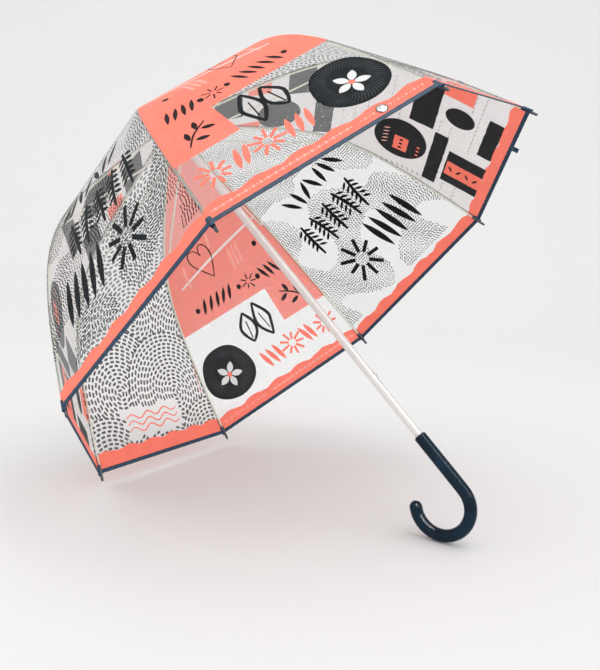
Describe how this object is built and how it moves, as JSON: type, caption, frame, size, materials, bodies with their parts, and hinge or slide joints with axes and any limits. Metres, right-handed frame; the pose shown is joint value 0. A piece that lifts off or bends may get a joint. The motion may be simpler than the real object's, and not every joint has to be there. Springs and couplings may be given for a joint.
{
  "type": "dome umbrella",
  "caption": "Open clear dome umbrella: film dome on curved ribs, sliding runner with stretchers, straight shaft with spring catches and a glossy crook handle.",
  "frame": {"origin": "middle of the straight grip, on the shaft axis", "axes": "+Z along the shaft towards the ferrule; the crook opens towards -X; ribs at odd multiples of 22.5 degrees from +X"},
  "size_m": [0.782, 0.782, 0.8149],
  "materials": {
    "painted_shaft": "satin off-white paint",
    "navy_handle": "glossy navy",
    "white_plastic": "white moulded plastic",
    "rib_fibreglass": "pale cream fibreglass",
    "navy_plastic": "dark navy moulded plastic",
    "clear_film": "clear film with printed blocks, strokes and dashes",
    "navy_tape": "woven navy tape",
    "steel_wire": "bright wire"
  },
  "bodies": {
    "shaft_body": {"shaft_tube": "painted_shaft", "crook_handle": "navy_handle", "ferrule": "navy_plastic", "crown_cap": "navy_plastic", "top_notch": "white_plastic", "notch_wire": "steel_wire"},
    "runner_body": {"runner": "white_plastic", "runner_wire": "steel_wire"},
    "top_catch_body": {"top_catch": "steel_wire"},
    "bottom_catch_body": {"bottom_catch": "steel_wire"},
    "rib_body_1": {"rib_1": "rib_fibreglass", "rib_tip_1": "navy_plastic", "rib_clip_1": "white_plastic", "film_panel_1": "clear_film", "hem_binding_1": "navy_tape", "closing_strap": "clear_film", "hem_tag": "navy_tape"},
    "stretcher_body_1": {"stretcher_1": "rib_fibreglass"},
    "rib_body_2": {"rib_2": "rib_fibreglass", "rib_tip_2": "navy_plastic", "rib_clip_2": "white_plastic", "film_panel_2": "clear_film", "hem_binding_2": "navy_tape"},
    "stretcher_body_2": {"stretcher_2": "rib_fibreglass"},
    "rib_body_3": {"rib_3": "rib_fibreglass", "rib_tip_3": "navy_plastic", "rib_clip_3": "white_plastic", "film_panel_3": "clear_film", "hem_binding_3": "navy_tape"},
    "stretcher_body_3": {"stretcher_3": "rib_fibreglass"},
    "rib_body_4": {"rib_4": "rib_fibreglass", "rib_tip_4": "navy_plastic", "rib_clip_4": "white_plastic", "film_panel_4": "clear_film", "hem_binding_4": "navy_tape"},
    "stretcher_body_4": {"stretcher_4": "rib_fibreglass"},
    "rib_body_5": {"rib_5": "rib_fibreglass", "rib_tip_5": "navy_plastic", "rib_clip_5": "white_plastic", "film_panel_5": "clear_film", "hem_binding_5": "navy_tape"},
    "stretcher_body_5": {"stretcher_5": "rib_fibreglass"},
    "rib_body_6": {"rib_6": "rib_fibreglass", "rib_tip_6": "navy_plastic", "rib_clip_6": "white_plastic", "film_panel_6": "clear_film", "hem_binding_6": "navy_tape"},
    "stretcher_body_6": {"stretcher_6": "rib_fibreglass"},
    "rib_body_7": {"rib_7": "rib_fibreglass", "rib_tip_7": "navy_plastic", "rib_clip_7": "white_plastic", "film_panel_7": "clear_film", "hem_binding_7": "navy_tape"},
    "stretcher_body_7": {"stretcher_7": "rib_fibreglass"},
    "rib_body_8": {"rib_8": "rib_fibreglass", "rib_tip_8": "navy_plastic", "rib_clip_8": "white_plastic", "film_panel_8": "clear_film", "hem_binding_8": "navy_tape"},
    "stretcher_body_8": {"stretcher_8": "rib_fibreglass"}
  },
  "joints": [
    {"name": "runner_slide", "type": "slide", "parent": "shaft_body", "child": "runner_body", "axis": [0, 0, -1], "range_m": [0, 0.47189]},
    {"name": "rib_hinge_1", "type": "hinge", "parent": "shaft_body", "child": "rib_body_1", "pos_m": [0.01155, 0.00478, 0.67312], "axis": [-0.3827, 0.9239, 0], "range_deg": [0, 45.01], "deforming": ["film_panel_1", "hem_binding_1", "closing_strap", "hem_tag"]},
    {"name": "stretcher_hinge_1", "type": "hinge", "parent": "runner_body", "child": "stretcher_body_1", "pos_m": [0.01155, 0.00478, 0.63912], "axis": [0.3827, -0.9239, 0], "range_deg": [0, 85.25]},
    {"name": "rib_hinge_2", "type": "hinge", "parent": "shaft_body", "child": "rib_body_2", "pos_m": [0.00478, 0.01155, 0.67312], "axis": [-0.9239, 0.3827, 0], "range_deg": [0, 45.01], "deforming": ["film_panel_2", "hem_binding_2"]},
    {"name": "stretcher_hinge_2", "type": "hinge", "parent": "runner_body", "child": "stretcher_body_2", "pos_m": [0.00478, 0.01155, 0.63912], "axis": [0.9239, -0.3827, 0], "range_deg": [0, 85.25]},
    {"name": "rib_hinge_3", "type": "hinge", "parent": "shaft_body", "child": "rib_body_3", "pos_m": [-0.00478, 0.01155, 0.67312], "axis": [-0.9239, -0.3827, 0], "range_deg": [0, 45.01], "deforming": ["film_panel_3", "hem_binding_3"]},
    {"name": "stretcher_hinge_3", "type": "hinge", "parent": "runner_body", "child": "stretcher_body_3", "pos_m": [-0.00478, 0.01155, 0.63912], "axis": [0.9239, 0.3827, 0], "range_deg": [0, 85.25]},
    {"name": "rib_hinge_4", "type": "hinge", "parent": "shaft_body", "child": "rib_body_4", "pos_m": [-0.01155, 0.00478, 0.67312], "axis": [-0.3827, -0.9239, 0], "range_deg": [0, 45.01], "deforming": ["film_panel_4", "hem_binding_4"]},
    {"name": "stretcher_hinge_4", "type": "hinge", "parent": "runner_body", "child": "stretcher_body_4", "pos_m": [-0.01155, 0.00478, 0.63912], "axis": [0.3827, 0.9239, 0], "range_deg": [0, 85.25]},
    {"name": "rib_hinge_5", "type": "hinge", "parent": "shaft_body", "child": "rib_body_5", "pos_m": [-0.01155, -0.00478, 0.67312], "axis": [0.3827, -0.9239, 0], "range_deg": [0, 45.01], "deforming": ["film_panel_5", "hem_binding_5"]},
    {"name": "stretcher_hinge_5", "type": "hinge", "parent": "runner_body", "child": "stretcher_body_5", "pos_m": [-0.01155, -0.00478, 0.63912], "axis": [-0.3827, 0.9239, 0], "range_deg": [0, 85.25]},
    {"name": "rib_hinge_6", "type": "hinge", "parent": "shaft_body", "child": "rib_body_6", "pos_m": [-0.00478, -0.01155, 0.67312], "axis": [0.9239, -0.3827, 0], "range_deg": [0, 45.01], "deforming": ["film_panel_6", "hem_binding_6"]},
    {"name": "stretcher_hinge_6", "type": "hinge", "parent": "runner_body", "child": "stretcher_body_6", "pos_m": [-0.00478, -0.01155, 0.63912], "axis": [-0.9239, 0.3827, 0], "range_deg": [0, 85.25]},
    {"name": "rib_hinge_7", "type": "hinge", "parent": "shaft_body", "child": "rib_body_7", "pos_m": [0.00478, -0.01155, 0.67312], "axis": [0.9239, 0.3827, 0], "range_deg": [0, 45.01], "deforming": ["film_panel_7", "hem_binding_7"]},
    {"name": "stretcher_hinge_7", "type": "hinge", "parent": "runner_body", "child": "stretcher_body_7", "pos_m": [0.00478, -0.01155, 0.63912], "axis": [-0.9239, -0.3827, 0], "range_deg": [0, 85.25]},
    {"name": "rib_hinge_8", "type": "hinge", "parent": "shaft_body", "child": "rib_body_8", "pos_m": [0.01155, -0.00478, 0.67312], "axis": [0.3827, 0.9239, 0], "range_deg": [0, 45.01], "deforming": ["film_panel_8", "hem_binding_8"]},
    {"name": "stretcher_hinge_8", "type": "hinge", "parent": "runner_body", "child": "stretcher_body_8", "pos_m": [0.01155, -0.00478, 0.63912], "axis": [-0.3827, -0.9239, 0], "range_deg": [0, 85.25]},
    {"name": "top_catch_press", "type": "slide", "parent": "shaft_body", "child": "top_catch_body", "axis": [-1, 0, 0], "range_m": [0, 0.0022], "stiffness_N_per_m": 400},
    {"name": "bottom_catch_press", "type": "slide", "parent": "shaft_body", "child": "bottom_catch_body", "axis": [-1, 0, 0], "range_m": [0, 0.0022], "stiffness_N_per_m": 400}
  ],
  "couplings": [
    {"joint": "rib_hinge_1", "follows": "runner_slide", "rad_per_m": 1.6644},
    {"joint": "stretcher_hinge_1", "follows": "runner_slide", "rad_per_m": 3.1523},
    {"joint": "rib_hinge_2", "follows": "runner_slide", "rad_per_m": 1.6644},
    {"joint": "stretcher_hinge_2", "follows": "runner_slide", "rad_per_m": 3.1523},
    {"joint": "rib_hinge_3", "follows": "runner_slide", "rad_per_m": 1.6644},
    {"joint": "stretcher_hinge_3", "follows": "runner_slide", "rad_per_m": 3.1523},
    {"joint": "rib_hinge_4", "follows": "runner_slide", "rad_per_m": 1.6644},
    {"joint": "stretcher_hinge_4", "follows": "runner_slide", "rad_per_m": 3.1523},
    {"joint": "rib_hinge_5", "follows": "runner_slide", "rad_per_m": 1.6644},
    {"joint": "stretcher_hinge_5", "follows": "runner_slide", "rad_per_m": 3.1523},
    {"joint": "rib_hinge_6", "follows": "runner_slide", "rad_per_m": 1.6644},
    {"joint": "stretcher_hinge_6", "follows": "runner_slide", "rad_per_m": 3.1523},
    {"joint": "rib_hinge_7", "follows": "runner_slide", "rad_per_m": 1.6644},
    {"joint": "stretcher_hinge_7", "follows": "runner_slide", "rad_per_m": 3.1523},
    {"joint": "rib_hinge_8", "follows": "runner_slide", "rad_per_m": 1.6644},
    {"joint": "stretcher_hinge_8", "follows": "runner_slide", "rad_per_m": 3.1523}
  ]
}
